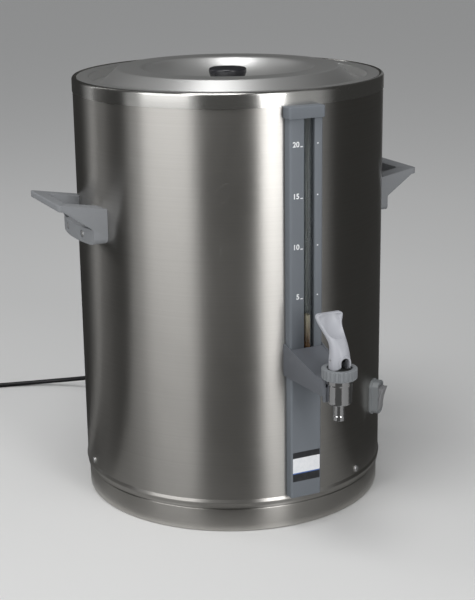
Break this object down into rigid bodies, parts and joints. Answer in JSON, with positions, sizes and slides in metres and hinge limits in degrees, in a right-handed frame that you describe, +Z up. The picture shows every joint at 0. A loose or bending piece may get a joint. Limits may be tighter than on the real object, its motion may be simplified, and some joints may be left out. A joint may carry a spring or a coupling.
{
  "type": "hot water urn",
  "caption": "Double-wall steel hot water urn with lift-off lid, level gauge, lever tap in a moulded shroud, side handles, rocker switch and mains lead.",
  "frame": {"origin": "centre of the foot, on the surface that the urn stands on", "axes": "+Z up along the body's axis; the tap faces -Y; +X is to the right seen from the tap"},
  "size_m": [0.6579, 0.8505, 0.5203],
  "materials": {
    "brushed_steel": "brushed round the body",
    "polished_band": "polished",
    "lid_steel": "fine satin",
    "screw_steel": "bright",
    "insulation": "mineral wool",
    "strip_plastic": "fine satin",
    "tube_glass": "clear, stained at its foot",
    "rubber": "matt",
    "tap_chrome": "polished",
    "nut_plastic": "satin, ribbed for grip",
    "bonnet_plastic": "matt",
    "seat_rubber": "silicone",
    "lever_plastic": "satin",
    "shroud_plastic": "satin",
    "nut_brass": "plain",
    "handle_plastic": "fine grain",
    "switch_plastic": "satin",
    "rocker_plastic": "satin",
    "knob_plastic": "glossy",
    "plate_aluminium": "plain",
    "element_steel": "heat-darkened",
    "stat_ceramic": "glazed",
    "block_plastic": "plain",
    "cord_rubber": "smooth, slightly glossy",
    "tie_plastic": "plain",
    "pin_brass": "nickel-free, bright"
  },
  "bodies": {
    "urn": {"outer_jacket": "brushed_steel", "top_band": "polished_band", "inner_tank": "brushed_steel", "insulation": "insulation", "base_pan": "brushed_steel", "base_screws": "screw_steel", "gauge_strip": "strip_plastic", "lower_strip": "strip_plastic", "gauge_cap": "strip_plastic", "sight_tube": "tube_glass", "tube_seals": "rubber", "tap_body": "tap_chrome", "tap_nut": "nut_plastic", "tap_bonnet": "bonnet_plastic", "valve_spring": "screw_steel", "tap_housing": "shroud_plastic", "outlet_elbow": "tap_chrome", "outlet_gasket": "rubber", "outlet_nut": "nut_brass", "tap_locknut": "nut_brass", "right_handle": "handle_plastic", "left_handle": "handle_plastic", "handle_screws": "screw_steel", "handle_backplates": "screw_steel", "switch_housing": "switch_plastic", "heater_plate": "plate_aluminium", "heating_element": "element_steel", "thermostat": "stat_ceramic", "boil_dry_cutout": "stat_ceramic", "terminal_block": "block_plastic", "earth_stud": "screw_steel", "cord_gland": "cord_rubber", "cord_lead": "cord_rubber", "cord_coil": "cord_rubber", "cord_tail": "cord_rubber", "cord_tie": "tie_plastic", "power_plug": "cord_rubber", "plug_pins": "pin_brass"},
    "lid": {"lid_pan": "lid_steel", "lid_knob": "knob_plastic", "knob_screw": "screw_steel"},
    "stem": {"valve_stem": "screw_steel", "seat_cup": "seat_rubber", "lever_pin": "screw_steel"},
    "lever": {"tap_lever": "lever_plastic"},
    "rocker": {"switch_rocker": "rocker_plastic"}
  },
  "joints": [
    {"name": "lid_lift", "type": "slide", "parent": "urn", "child": "lid", "axis": [0, 0, 1], "range_m": [0, 0.12]},
    {"name": "stem_lift", "type": "slide", "parent": "urn", "child": "stem", "axis": [0, 0, 1], "range_m": [0, 0.0034], "deforming": ["valve_spring"]},
    {"name": "lever_tilt", "type": "hinge", "parent": "stem", "child": "lever", "pos_m": [0, -0.271, 0.2313], "axis": [1, 0, 0], "range_deg": [0, 55], "stiffness_Nm_per_rad": 0.05, "springref_deg": -11.46},
    {"name": "rocker_press", "type": "hinge", "parent": "urn", "child": "rocker", "pos_m": [0.12674, -0.14275, 0.126], "axis": [0.7478, 0.6639, 0], "range_deg": [-24, 0]}
  ],
  "couplings": [
    {"joint": "lever_tilt", "follows": "stem_lift", "rad_per_m": 282.3}
  ]
}
